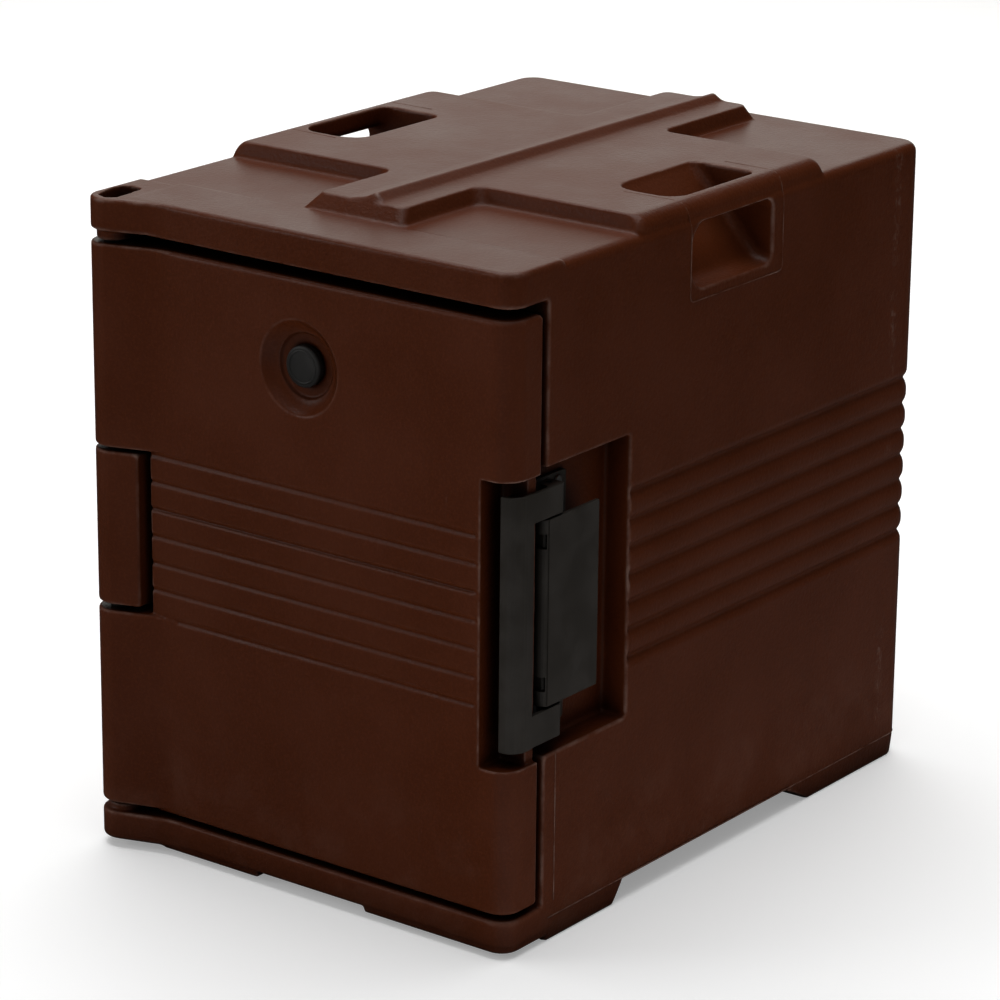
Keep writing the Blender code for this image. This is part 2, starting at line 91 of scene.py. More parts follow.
DOOR_LEFT = -167.5
DOOR_BACK = -275.5
DOOR_LOW = 40.4
DOOR_HIGH = 565.3
DOOR_EDGE = 4.5
GROOVES_END = 195

VENT = (3.0, 487.0)
CAP_FACE = -312.5

LINE_OUT = 228.4
LINE_SIDES = 8

# How far the frame's y runs past this script's, found from the hinge pin.
pin_low, pin_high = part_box("hinge_pin")
BACK = (pin_low[1] + pin_high[1]) / 2 / MM - HINGE[1]

# ---- shape helpers ----


def arc(centre, radius, start, end, steps):
    """Points of an arc, angles in degrees."""
    angles = np.radians(np.linspace(start, end, steps + 1))
    return [(centre[0] + radius * math.cos(a), centre[1] + radius * math.sin(a)) for a in angles]


def fillet(corners, steps=8):
    """An outline whose corners (x, y, radius) are rounded. A corner with no radius stays sharp."""
    outline = []
    count = len(corners)
    for index, corner in enumerate(corners):
        radius = corner[2] if len(corner) > 2 else 0.0
        point = np.array(corner[:2], float)
        if radius == 0.0:
            outline.append(tuple(point))
            continue
        before = np.array(corners[index - 1][:2], float) - point
        after = np.array(corners[(index + 1) % count][:2], float) - point
        before /= np.linalg.norm(before)
        after /= np.linalg.norm(after)
        half = math.acos(float(np.clip(before @ after, -1, 1))) / 2
        middle = (before + after) / np.linalg.norm(before + after)
        centre = point + middle * radius / math.sin(half)
        first = point + before * radius / math.tan(half) - centre
        last = point + after * radius / math.tan(half) - centre
        turn = math.atan2(first[0] * last[1] - first[1] * last[0], float(first @ last))
        for step in range(steps + 1):
            angle = turn * step / steps
            x = centre[0] + first[0] * math.cos(angle) - first[1] * math.sin(angle)
            y = centre[1] + first[0] * math.sin(angle) + first[1] * math.cos(angle)
            outline.append((x, y))
    return outline


def inset(outline, distance):
    """The outline, counter-clockwise, moved inwards by a distance."""
    points = np.array(outline, float)
    along = np.roll(points, -1, axis=0) - points
    along /= np.linalg.norm(along, axis=1)[:, None]
    normal = np.stack([-along[:, 1], along[:, 0]], axis=1)
    previous = np.roll(normal, 1, axis=0)
    shift = (normal + previous) / (1 + (normal * previous).sum(axis=1))[:, None]
    return [tuple(p) for p in points + shift * distance]


def mirrored(outline):
    """The outline on the other side of x = 0, still in the same turning direction."""
    return [(-x, y) for x, y in reversed(outline)]


def lift(outline, axis, level):
    """Puts a flat outline at a level of the y or the z axis."""
    if axis == "y":
        return [(u, level, v) for u, v in outline]
    return [(u, v, level) for u, v in outline]


def put_in_scene(name, data):
    made = bpy.data.objects.new(name, data)
    bpy.context.scene.collection.objects.link(made)
    return made


def loft(name, rings, closed=False):
    """A closed solid through rings of equally many points. If closed, the last ring joins the first."""
    body = bmesh.new()
    rows = [[body.verts.new((x * MM, (y + BACK) * MM, z * MM)) for x, y, z in ring] for ring in rings]
    count = len(rows[0])
    pairs = list(zip(rows, rows[1:]))
    if closed:
        pairs.append((rows[-1], rows[0]))
    else:
        body.faces.new(rows[0])
        body.faces.new(rows[-1])
    for low, high in pairs:
        for index in range(count):
            after = (index + 1) % count
            body.faces.new((low[index], low[after], high[after], high[index]))
    bmesh.ops.triangulate(body, faces=[face for face in body.faces if len(face.verts) == 4])
    bmesh.ops.recalc_face_normals(body, faces=body.faces)
    if body.calc_volume(signed=True) < 0:
        bmesh.ops.reverse_faces(body, faces=body.faces)
    mesh = bpy.data.meshes.new(name)
    body.to_mesh(mesh)
    body.free()
    return put_in_scene(name, mesh)


def low_end(outline, axis, low, radius, steps=5):
    """Rings that round the low end of a run, or one plain ring if the radius is 0."""
    if not radius:
        return [lift(outline, axis, low)]
    rings = []
    for step in range(steps + 1):
        angle = math.pi / 2 * step / steps
        level = low + radius * (1 - math.cos(angle))
        rings.append(lift(inset(outline, radius * (1 - math.sin(angle))), axis, level))
    return rings


def high_end(outline, axis, high, radius, steps=5):
    """Rings that round the high end of a run, or one plain ring if the radius is 0."""
    if not radius:
        return [lift(outline, axis, high)]
    rings = []
    for step in range(steps + 1):
        angle = math.pi / 2 * step / steps
        level = high - radius * (1 - math.sin(angle))
        rings.append(lift(inset(outline, radius * (1 - math.cos(angle))), axis, level))
    return rings


def prism(name, outline, axis, low, high, low_edge=0.0, high_edge=0.0, steps=5):
    """An outline run along an axis, with rounded ends where an edge radius is given."""
    rings = low_end(outline, axis, low, low_edge, steps) + high_end(outline, axis, high, high_edge, steps)
    return loft(name, rings)


def box(name, xs, ys, zs):
    corners = [(xs[0], ys[0]), (xs[1], ys[0]), (xs[1], ys[1]), (xs[0], ys[1])]
    return prism(name, corners, "z", zs[0], zs[1])


def turned(name, centre, axis, profile, sides=48, closed=False):
    """A turned solid: profile points are (radius, level along the axis)."""
    rings = [lift(arc(centre, radius, 0, 360, sides)[:-1], axis, level) for radius, level in profile]
    return loft(name, rings, closed)


def settle(solid):
    """Replaces a mesh by what its modifiers make of it."""
    graph = bpy.context.evaluated_depsgraph_get()
    mesh = bpy.data.meshes.new_from_object(solid.evaluated_get(graph))
    solid.modifiers.clear()
    old = solid.data
    solid.data = mesh
    bpy.data.meshes.remove(old)


def combine(target, tool, operation):
    """Joins a tool to the target or takes it away, and removes the tool."""
    change = target.modifiers.new("combine", "BOOLEAN")
    change.operation = operation
    change.solver = "EXACT"
    change.object = tool
    settle(target)
    bpy.data.objects.remove(tool)


def add(target, tool):
    combine(target, tool, "UNION")


def cut(target, tool):
    combine(target, tool, "DIFFERENCE")


def soften(solid, voxel, passes, keep):
    """Turns a sharp solid into one moulded skin with softly rounded edges, and keeps a share of its faces."""
    remesh = solid.modifiers.new("remesh", "REMESH")
    remesh.mode = "VOXEL"
    remesh.voxel_size = voxel * MM
    smooth = solid.modifiers.new("smooth", "SMOOTH")
    smooth.factor = 0.5
    smooth.iterations = passes
    fewer = solid.modifiers.new("fewer", "DECIMATE")
    fewer.ratio = keep
    settle(solid)
    solid.data.shade_smooth()


# ---- shell ----


def rib_levels():
    """(level, depth) pairs up the side: seven grooves with a full convex rib between each two."""
    high = RIB_LOW + RIBS * RIB_PITCH
    levels = [(RIB_LOW - 8, 0.0), (RIB_LOW - 4, 0.35 * RIB_DEPTH), (RIB_LOW - 1.5, 0.85 * RIB_DEPTH)]
    for rib in range(RIBS):
        low = RIB_LOW + rib * RIB_PITCH
        levels.append((low, RIB_DEPTH))
        for share in (0.04, 0.1, 0.18, 0.28, 0.4, 0.6, 0.72, 0.82, 0.9, 0.96):
            depth = RIB_DEPTH * abs(2 * share - 1) ** RIB_ROUNDNESS
            levels.append((low + share * RIB_PITCH, depth))
    levels += [(high, RIB_DEPTH), (high + 1.5, 0.85 * RIB_DEPTH)]
    levels += [(high + 4, 0.35 * RIB_DEPTH), (high + 8, 0.0)]
    return levels


def groove_levels():
    """(level, depth) pairs up the door: seven narrow grooves with flat panels between them."""
    levels = []
    for line in range(RIBS + 1):
        middle = RIB_LOW + line * RIB_PITCH
        levels += [(middle - 3, 0.0), (middle - 1.4, 0.45 * GROOVE_DEPTH), (middle, GROOVE_DEPTH)]
        levels += [(middle + 1.4, 0.45 * GROOVE_DEPTH), (middle + 3, 0.0)]
    return levels


def knuckle_outline(back, corner, right):
    """Plan of a knuckle: up the ramp, round the pin and along the left. A corner radius rounds its back."""
    outline = [(right, back)]
    if right > RAMP_END:
        outline += [(right, FRONT), (RAMP_END + 9, FRONT)]
        outline += [(RAMP_END + 2, FRONT - 0.8), (RAMP_END - 6, FRONT - 2.6)]
    else:
        slope = (FRONT - RAMP_TOP[1]) / (RAMP_END - RAMP_TOP[0])
        outline.append((right, RAMP_TOP[1] + slope * (right - RAMP_TOP[0])))
    start = math.degrees(math.atan2(RAMP_TOP[1] - HINGE[1], RAMP_TOP[0] - HINGE[0]))
    outline += arc(HINGE, KNUCKLE, start, -180, 24)
    if corner:
        outline += arc((HINGE[0] - KNUCKLE + corner, back - corner), corner, 180, 90, 10)
    else:
        outline.append((HINGE[0] - KNUCKLE, back))
    return outline[::-1]


def handle_pocket(side):
    """The space round a grip bar, open at the top and the side, with round ends and a sloping inner wall."""
    outline = [(209, 541, 21), (258, 534), (258, 598), (209, 598, 7), (209, 648), (139, 648), (139, 619, 21)]
    outline = fillet(outline, 6)
    if side < 0:
        outline = mirrored(outline)
    return prism("pocket", outline, "y", -60, 64, low_edge=20, high_edge=10, steps=8)


def shell_block():
    """The outer box of the shell, with its ribs."""
    corners = [
        (-HALF_WIDTH, FLANGE),
        (HALF_WIDTH, FLANGE),
        (HALF_WIDTH, RIB_START - 1),
        (HALF_WIDTH, RIB_START + 3),
        (HALF_WIDTH, REAR, REAR_CORNER),
        (-HALF_WIDTH, REAR, REAR_CORNER),
        (-HALF_WIDTH, RIB_START + 3),
        (-HALF_WIDTH, RIB_START - 1),
    ]
    outline = fillet(corners, 10)
    rings = low_end(outline, "z", UNDERSIDE, 6, 4)
    for level, depth in rib_levels():
        sunk = inset(outline, depth)
        ring = [deep if flat[1] > RIB_START else flat for flat, deep in zip(outline, sunk)]
        rings.append(lift(ring, "z", level))
    rings += high_end(outline, "z", TOP, 9, 7)
    return loft("body_skin", rings)


def plateau():
    """The raised cross on top, with sloping flanks and rounded sides, and the bead along its bar."""
    foot_corners = [(58, -247, 8), (58, -138, 12), (226, -138, 8), (226, 152, 8), (58, 152, 12), (58, 293, 8)]
    foot_corners += [(-53, 293, 8), (-53, 152, 12), (-226, 152, 8), (-226, -138, 8), (-53, -138, 12)]
    foot_corners += [(-53, -247, 8)]
    top_corners = [(51, -235, 8), (51, -131, 12), (213, -131, 8), (213, 145, 8), (51, 145, 12), (51, 285, 8)]
    top_corners += [(-41.4, 285, 8), (-41.4, 145, 12), (-213, 145, 8), (-213, -131, 8), (-41.4, -131, 12)]
    top_corners += [(-41.4, -235, 8)]
    foot_outline = fillet(foot_corners, 5)
    top_outline = fillet(top_corners, 5)
    side_radius = 13
    arm_end = 210
    rings = [lift(foot_outline, "z", TOP - 3)]
    for share in (0.0, 0.3, 0.55, 0.75, 0.9, 0.97, 1.0):
        ring = []
        for low, high in zip(foot_outline, top_outline):
            x, y = low[0] + share * (high[0] - low[0]), low[1] + share * (high[1] - low[1])
            if abs(low[0]) > arm_end:
                x = low[0] - math.copysign(side_radius * (1 - math.sqrt(1 - share**2)), low[0])
            ring.append((x, y))
        rings.append(lift(ring, "z", TOP - 0.1 + share * (PLATEAU - TOP + 0.1)))
    cross = loft("cross", rings)
    # The bead's profile is (x, height over the plateau), and its ends slope down with the cross.
    profile = [(-10, -16), (28.5, -16), (28, 0), (26, 0.5), (18.6, 6.0), (16.8, 7.2)]
    profile += [(15.2, 7.2), (13.4, 6.0), (11, 4.6), (6, 2.6), (-10, -0.2)]
    rings = []
    for y in (-247.6, -245, -240, -236, -233, -230.5, -228.6, 281.1, 283, 285, 288, 291, 293.6):
        roof = 604.4 + min((y + 247) * 1.167, (293 - y) * 1.75)
        rings.append([(x, y, min(PLATEAU + z, max(roof, 603))) for x, z in profile])
    add(cross, loft("bead", rings))
    return cross


def foot(side, front):
    """One of the four feet, which widens upwards."""
    if front:
        low = fillet([(150, -255, 4), (226.5, -258, 4), (227, -157, 4), (150, -157, 4)], 4)
        high = fillet([(146, -262, 4), (HALF_WIDTH, -262, 4), (HALF_WIDTH, -145, 4), (146, -145, 4)], 4)
    else:
        low = fillet([(150, 155, 4), (226.5, 155, 4), (226.5, 315.5, 20), (150, 315.5, 4)], 4)
        rear_right = (HALF_WIDTH, REAR, REAR_CORNER)
        high = fillet([(146, 118, 4), (HALF_WIDTH, 118, 4), rear_right, (146, REAR, 4)], 4)
    if side < 0:
        low = mirrored(low)
        high = mirrored(high)
    return loft("foot", [lift(low, "z", 0), lift(high, "z", UNDERSIDE + 0.5), lift(high, "z", UNDERSIDE + 7)])


def add_front(skin):
    """Adds the visor over the door, the ledge under it, and the parts that carry the hinge pin."""
    visor = fillet([(-190, FRONT), (HALF_WIDTH, FRONT, 20), (HALF_WIDTH, -245), (-190, -245)], 10)
    add(skin, prism("visor", visor, "z", VISOR_BOTTOM, TOP + 1.3, 3, 4))
    boss = knuckle_outline(BOSS_BACK, 0, BOSS_RIGHT)
    add(skin, prism("visor_boss", boss, "z", VISOR_BOTTOM + 1.6, TOP + 1.0, 2, 2))
    ledge = fillet([(-190, FRONT), (HALF_WIDTH, FRONT, 18), (HALF_WIDTH, -250), (-190, -250)], 8)
    add(skin, prism("ledge", ledge, "z", 11, LEDGE_TOP, 2, 4))
    add(skin, prism("ledge_boss", boss, "z", 8, LEDGE_TOP - 0.4, 3, 2))
    left_pad = [(-160, FRONT + 1), (-49, FRONT + 1), (-49, -252), (-160, -252)]
    right_pad = [(72, FRONT + 1), (HALF_WIDTH - 1, FRONT + 1, 17), (HALF_WIDTH - 1, -252), (72, -252)]
    for pad in (left_pad, right_pad):
        add(skin, prism("pad", fillet(pad), "z", 5.3, 19, 2))
    add(skin, prism("post", knuckle_outline(BOSS_BACK, 0, -176), "z", 234, 377.2, 2, 2))
    upper = (566.6, VISOR_BOTTOM + 5)
    for low, high in ((LEDGE_TOP - 4, 41.5), upper):
        add(skin, turned("barrel", HINGE, "z", [(BARREL, low), (BARREL, high)]))
    web = (HINGE[0] - BARREL + 1, HINGE[0] + BARREL - 1)
    for zs in ((LEDGE_TOP - 4, 39.5), upper):
        add(skin, box("web", web, (HINGE[1], FLANGE + 3), zs))


def cut_inside(skin):
    """Cuts the food space and adds the pan rails in it."""
    mouth = FLANGE - 20
    space = [(WALL_INSIDE, mouth), (WALL_INSIDE, 267, 18), (-WALL_INSIDE, 267, 18), (-WALL_INSIDE, mouth)]
    cut(skin, prism("space", fillet(space), "z", 58, 548, 8, 8))
    for pair in range(RAIL_PAIRS):
        level = RAIL_LOW + pair * RAIL_PITCH
        for side in (-1, 1):
            xs = sorted((side * 154, side * (WALL_INSIDE + 1)))
            add(skin, box("rail", xs, (FLANGE + 28, 255), (level - RAIL_HEIGHT, level)))


def body_skin():
    """The outer and inner skin of the body, in place of the CAD shell."""
    skin = shell_block()
    add_front(skin)
    add(skin, plateau())
    for side in (-1, 1):
        for front in (False, True):
            add(skin, foot(side, front))
    cut_inside(skin)
    cut(skin, box("recess", (202, 250), (FLANGE - 20, -147), (174, 431)))
    for side in (-1, 1):
        cut(skin, handle_pocket(side))
    slot = [(-218, -322, 3), (-206, -326, 3), (-198.5, -320, 3), (-199, -307), (-202, -283, 3)]
    slot += [(-217, -281, 3), (-224, -285, 3), (-225, -296), (-224, -304)]
    cut(skin, prism("slot", fillet(slot, 4), "z", 589.5, TOP + 20))
    cut(skin, turned("hole", HINGE, "z", [(PIN_HOLE, 0), (PIN_HOLE, TOP - 5)]))
    soften(skin, voxel=1.6, passes=3, keep=0.25)
    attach(skin, "carrier")
    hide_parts("body_shell")
    return skin


def door_block():
    """The door's front leaf, with its grooves."""
    corners = [
        (DOOR_LEFT, FRONT),
        (190, FRONT),
        (196.5, FRONT),
        (HALF_WIDTH, FRONT, 21),
        (HALF_WIDTH, DOOR_BACK),
        (DOOR_LEFT, DOOR_BACK),
    ]
    outline = fillet(corners, 10)
    rings = low_end(outline, "z", DOOR_LOW, DOOR_EDGE)
    for level, depth in groove_levels():
        ring = [(x, y + depth) if x < GROOVES_END and y < FRONT + 2 else (x, y) for x, y in outline]
        rings.append(lift(ring, "z", level))
    rings += high_end(outline, "z", DOOR_HIGH, DOOR_EDGE)
    return loft("door_skin", rings)


def door_skin():
    """The door's skin with its plug, knuckles, vent dish and latch keeper, in place of the CAD shell."""
    door = door_block()
    for start, end in ((DOOR_LOW + 3.4, 228.5), (380.5, DOOR_HIGH - 0.3)):
        add(door, prism("knuckle", knuckle_outline(DOOR_BACK, 15, BOSS_RIGHT), "z", start, end, 2.5, 2.5))
    plug = fillet([(-160, 68, 12), (160, 68, 12), (160, 538, 12), (-160, 538, 12)])
    add(door, prism("plug", plug, "y", -277, -252, 0, 5))
    cut(door, box("groove", (197, 240), (FRONT - 20, -287), (172, 427)))
    cut(door, box("side_groove", (223.5, 240), (FRONT - 20, -265), (172, 427)))
    keeper = [(208, -302.5, 2), (223.5, -302.5, 11), (223.5, -280), (208, -280)]
    add(door, prism("keeper", fillet(keeper), "z", 190, 410, 2, 2))
    dish = [(46, FRONT - 3), (43, FRONT - 0.6), (41.4, FRONT + 1.0), (38.5, -313.2), (35, -310), (32, -308)]
    dish += [(30.2, -307.6), (29.3, -306.9), (28.6, -304.8), (27.8, -304.4), (20, -304.4)]
    dish += [(19.4, -303.8), (19.4, -303)]
    cut(door, turned("dish", VENT, "y", dish, 72))
    cut(door, turned("stem_hole", VENT, "y", [(5.8, -310), (5.8, -240)]))
    cut(door, turned("hole", HINGE, "z", [(PIN_HOLE, 0), (PIN_HOLE, TOP)]))
    soften(door, voxel=1.2, passes=3, keep=0.3)
    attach(door, "door")
    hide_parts("door_shell")
    return door


# ---- small raised pieces ----


def mould_line(name, path, outward, radius=0.75):
    """The thin raised line that a joint between two mould halves leaves on the shell.

    outward gives, at each point of the path, the direction in which the line stands up.
    """
    rings = []
    for index, point in enumerate(path):
        before = Vector(path[max(index - 1, 0)])
        after = Vector(path[min(index + 1, len(path) - 1)])
        along = (after - before).normalized()
        out = Vector(outward[index])
        out = (out - along * out.dot(along)).normalized()
        side = along.cross(out)
        ring = []
        for step in range(LINE_SIDES):
            angle = 2 * math.pi * step / LINE_SIDES
            ring.append(Vector(point) + radius * (math.cos(angle) * out + 0.9 * math.sin(angle) * side))
        rings.append(ring)
    line = loft(name, rings)
    line.data.shade_smooth()
    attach(line, "carrier")
    return line


def grip_line(side):
    """The outline of the mould insert that forms one grip, over the edge of the top and round the side."""
    path = [(160, -68, 617.6), (180, -67, 617.6), (211, -66, 617.6), (218.5, -65.4, 616.2)]
    path += [(223.2, -64.6, 611.8), (225.8, -64, 605.5), (226.4, -63.6, 601), (228.1, -63, 596)]
    path += [(LINE_OUT, -62.5, 590), (LINE_OUT, -62.5, 540), (LINE_OUT, -62.5, 533), (LINE_OUT, -61, 530.4)]
    path += [(LINE_OUT, -58, 529), (LINE_OUT, 0, 529), (LINE_OUT, 75, 529), (LINE_OUT, 78.4, 530.4)]
    path += [(LINE_OUT, 80, 533), (LINE_OUT, 80, 590), (228.1, 80, 596), (226.4, 80, 601), (225.8, 80, 605.5)]
    path += [(223.2, 80, 611.8), (218.5, 80, 616.2), (211, 80, 617.6), (165, 80, 617.6)]
    outward = [(0, 0, 1) if z > 616 else (1, 0, 0.3 if z > 598 else 0) for x, y, z in path]
    if side < 0:
        path = [(-x, y, z) for x, y, z in path]
        outward = [(-x, y, z) for x, y, z in outward]
    return mould_line("mould_line_grip_right" if side > 0 else "mould_line_grip_left", path, outward, 0.7)


def shell_lines():
    """Mould lines round the base, up both sides near the front and round the grips."""
    corner = arc((206.3, 295.3), REAR_CORNER, 0, 90, 8)
    round_base = [(228.3, -258), (228.3, -140), (228.3, 0), (228.3, 150), (228.3, 270), *corner]
    round_base += [(-x, y) for x, y in reversed(round_base)]
    path = [(x, y, 22.7) for x, y in round_base]
    outward = [(math.copysign(1, x), 0, 0) if y < 290 else (x / 20, y - 290, 0) for x, y in round_base]
    lines = [mould_line("mould_line_base", path, outward)]
    for side in (-1, 1):
        path = [(side * LINE_OUT, -250, z) for z in (37, 60, 90, 120, 150, 172)]
        name = "mould_line_side_right" if side > 0 else "mould_line_side_left"
        lines.append(mould_line(name, path, [(side, 0, 0)] * len(path)))
        lines.append(grip_line(side))
    return lines


def raised_rim():
    """The low raised ring on the face of the vent cap."""
    profile = [(12.9, CAP_FACE + 0.5), (13.3, CAP_FACE - 0.35), (14.2, CAP_FACE - 0.65)]
    profile += [(15.2, CAP_FACE - 0.35), (15.6, CAP_FACE + 0.5)]
    rim = turned("vent_cap_rim", VENT, "y", profile, 72, closed=True)
    rim.data.shade_smooth()
    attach(rim, "vent")
    return rim


skin = body_skin()
door = door_skin()
mould_lines = shell_lines()
vent_rim = raised_rim()

# ---- node helpers ----


def new_material(name):
    material = bpy.data.materials.new(name)
    material.use_nodes = True
    tree = material.node_tree
    return material, tree, tree.nodes["Principled BSDF"]


def link(tree, output, socket):
    tree.links.new(output, socket)


def object_place(tree):
    """The position on the object, which moves with it, in metres."""
    return tree.nodes.new("ShaderNodeTexCoord").outputs["Object"]


def coordinates(tree, vector):
    node = tree.nodes.new("ShaderNodeSeparateXYZ")
    link(tree, vector, node.inputs["Vector"])
    return node.outputs["X"], node.outputs["Y"], node.outputs["Z"]


def noise(tree, vector, scale, detail=2.0, rough=0.5, distortion=0.0):
    node = tree.nodes.new("ShaderNodeTexNoise")
    node.inputs["Scale"].default_value = scale
    node.inputs["Detail"].default_value = detail
    node.inputs["Roughness"].default_value = rough
    node.inputs["Distortion"].default_value = distortion
    link(tree, vector, node.inputs["Vector"])
    return node.outputs["Fac"]


def ramp(tree, value, stops):
    """Colours by value, from two (position, colour) stops."""
    node = tree.nodes.new("ShaderNodeValToRGB")
    for element, (position, colour) in zip(node.color_ramp.elements, stops):
        element.position = position
        element.color = (*colour, 1.0)
    link(tree, value, node.inputs["Fac"])
    return node.outputs["Color"]


def span(tree, value, low, high, to_low=0.0, to_high=1.0, smooth=True):
    """Maps low..high to to_low..to_high, and holds the ends outside it."""
    node = tree.nodes.new("ShaderNodeMapRange")
    node.interpolation_type = "SMOOTHSTEP" if smooth else "LINEAR"
    node.inputs["From Min"].default_value = low
    node.inputs["From Max"].default_value = high
    node.inputs["To Min"].default_value = to_low
    node.inputs["To Max"].default_value = to_high
    link(tree, value, node.inputs["Value"])
    return node.outputs["Result"]


def maths(tree, kind, first, second=None):
    """A Math node on sockets or numbers."""
    node = tree.nodes.new("ShaderNodeMath")
    node.operation = kind
    for socket, value in zip(node.inputs, (first, second)):
        if value is None:
            continue
        if isinstance(value, (int, float)):
            socket.default_value = value
        else:
            link(tree, value, socket)
    return node.outputs["Value"]


def times(tree, first, second):
    return maths(tree, "MULTIPLY", first, second)


def mix(tree, share, first, second):
    """Mixes two colours, each a socket or a tuple."""
    node = tree.nodes.new("ShaderNodeMix")
    node.data_type = "RGBA"
    link(tree, share, node.inputs[0])
    for socket, value in ((node.inputs[6], first), (node.inputs[7], second)):
        if isinstance(value, tuple):
            socket.default_value = (*value, 1.0)
        else:
            link(tree, value, socket)
    return node.outputs[2]


def bump(tree, height, strength, distance, normal=None):
    node = tree.nodes.new("ShaderNodeBump")
    node.inputs["Strength"].default_value = strength
    node.inputs["Distance"].default_value = distance
    link(tree, height, node.inputs["Height"])
    if normal is not None:
        link(tree, normal, node.inputs["Normal"])
    return node.outputs["Normal"]


def stretched(tree, vector, scale):
    node = tree.nodes.new("ShaderNodeMapping")
    node.inputs["Scale"].default_value = scale
    link(tree, vector, node.inputs["Vector"])
    return node.outputs["Vector"]


def paint_corner_shade(tree, colour, reach, least):
    """Paints shade into a colour: darkens it in gaps and inner corners, where little light comes in."""
    node = tree.nodes.new("ShaderNodeAmbientOcclusion")
    node.samples = 8
    node.inputs["Distance"].default_value = reach
    openness = span(tree, node.outputs["AO"], 0.15, 0.85, least, 1.0, smooth=False)
    return mix(tree, openness, (0.0, 0.0, 0.0), colour)


# ---- materials ----

BROWN = (0.0715, 0.0146, 0.0031)
PALE_BROWN = (0.098, 0.0220, 0.0058)
DARK_BROWN = (0.0590, 0.0118, 0.0023)
PALE_LOW_TONE = (0.115, 0.05, 0.032)
CHALK = (0.16, 0.105, 0.085)
# Pale colour for worn edges, also painted on as an edge highlight.
WORN_EDGE_AND_HIGHLIGHT = (0.2, 0.125, 0.1)
RUB_BAND = 0.281
SHELL_ROUGHNESS = 0.36


def rub_band(tree, place, x, y):
    """A dotted band of rubs down each side, just in front of the rear corners."""
    distance = maths(tree, "ABSOLUTE", maths(tree, "SUBTRACT", y, RUB_BAND))
    band = span(tree, distance, 0.002, 0.008, 1.0, 0.0)
    on_side = span(tree, maths(tree, "ABSOLUTE", x), 0.222, 0.226)
    dots = span(tree, noise(tree, stretched(tree, place, (1.0, 1.0, 0.4)), 330.0, 3.0, 0.7), 0.5, 0.66)
    broken = span(tree, noise(tree, place, 11.0, 2.0), 0.42, 0.56, 0.0, 0.7)
    return times(tree, times(tree, times(tree, band, on_side), dots), broken)


def moulded_plastic(name, base, light, dark):
    """Rotomoulded polyethylene: an orange-peel skin with clouds of colour, scuffs, a paler tone low down,
    worn edges that also carry a painted edge highlight, and painted shade in gaps and corners.
    """
    material, tree, shader = new_material(name)
    place = object_place(tree)
    x, y, z = coordinates(tree, place)

    clouds = noise(tree, place, 9.0, 4.0, 0.55)
    grain = span(tree, noise(tree, place, 400.0, 3.0, 0.65), 0.42, 0.72)
    colour = mix(tree, span(tree, clouds, 0.3, 0.7), dark, base)
    colour = mix(tree, times(tree, grain, 0.4), colour, light)

    rubs = span(tree, noise(tree, stretched(tree, place, (1.0, 1.0, 0.13)), 120.0, 5.0, 0.7, 0.4), 0.62, 0.76)
    patches = span(tree, noise(tree, place, 7.0, 3.0, 0.6, 0.6), 0.55, 0.7)
    scuffed = times(tree, rubs, patches)
    chalk = times(tree, maths(tree, "MAXIMUM", scuffed, rub_band(tree, place, x, y)), 0.5)
    # The colour turns paler towards the bottom, in cloudy patches.
    low = span(tree, z, 0.05, 0.17, 0.28, 0.0)
    haze = times(tree, low, span(tree, noise(tree, place, 16.0, 5.0, 0.65, 0.3), 0.45, 0.75))
    colour = mix(tree, haze, colour, PALE_LOW_TONE)
    colour = mix(tree, chalk, colour, CHALK)

    # Worn edges that also stand in for a painted edge highlight: sharp convex edges are lightened, broken up
    # by noise.
    bend = span(tree, tree.nodes.new("ShaderNodeNewGeometry").outputs["Pointiness"], 0.507, 0.55)
    edges = times(tree, bend, span(tree, noise(tree, place, 45.0, 4.0, 0.7), 0.3, 0.7))
    colour = mix(tree, times(tree, edges, 0.7), colour, WORN_EDGE_AND_HIGHLIGHT)
    # Painted shade: the colour is darkened in gaps, recesses and inner corners.
    colour = paint_corner_shade(tree, colour, reach=0.055, least=0.1)
    link(tree, colour, shader.inputs["Base Color"])

    rough = span(tree, clouds, 0.25, 0.75, SHELL_ROUGHNESS - 0.05, SHELL_ROUGHNESS + 0.06)
    rough = maths(tree, "ADD", rough, times(tree, scuffed, 0.15))
    link(tree, rough, shader.inputs["Roughness"])
    shader.inputs["Specular IOR Level"].default_value = 0.14

    normal = bump(tree, noise(tree, place, 14.0, 2.0, 0.5), 0.25, 0.0022)
    normal = bump(tree, noise(tree, place, 300.0, 3.0, 0.55), 0.45, 0.0008, normal)
    normal = bump(tree, noise(tree, place, 900.0, 2.0, 0.6), 0.3, 0.0003, normal)
    link(tree, normal, shader.inputs["Normal"])
    return material


def nylon(name, base, worn, roughness=0.4):
    """Moulded nylon, a little paler in worn patches, with painted shade in its gaps and corners."""
    material, tree, shader = new_material(name)
    place = object_place(tree)
    clouds = noise(tree, place, 30.0, 4.0, 0.6)
    colour = mix(tree, span(tree, clouds, 0.35, 0.7), base, worn)
    # Painted shade: the colour is darkened in gaps and inner corners.
    colour = paint_corner_shade(tree, colour, reach=0.02, least=0.05)
    shader.inputs["Specular IOR Level"].default_value = 0.25
    link(tree, colour, shader.inputs["Base Color"])
    link(tree, span(tree, clouds, 0.2, 0.8, roughness - 0.06, roughness + 0.08), shader.inputs["Roughness"])
    link(tree, bump(tree, noise(tree, place, 900.0, 2.0, 0.6), 0.2, 0.0002), shader.inputs["Normal"])
    return material


def steel(name, colour, roughness):
    """Brushed steel."""
    material, tree, shader = new_material(name)
    lines = noise(tree, stretched(tree, object_place(tree), (1.0, 1.0, 30.0)), 160.0, 3.0, 0.6)
    link(tree, mix(tree, lines, tuple(0.8 * c for c in colour), colour), shader.inputs["Base Color"])
    link(tree, span(tree, lines, 0.2, 0.8, roughness - 0.06, roughness + 0.1), shader.inputs["Roughness"])
    shader.inputs["Metallic"].default_value = 1.0
    link(tree, bump(tree, lines, 0.15, 0.0001), shader.inputs["Normal"])
    return material


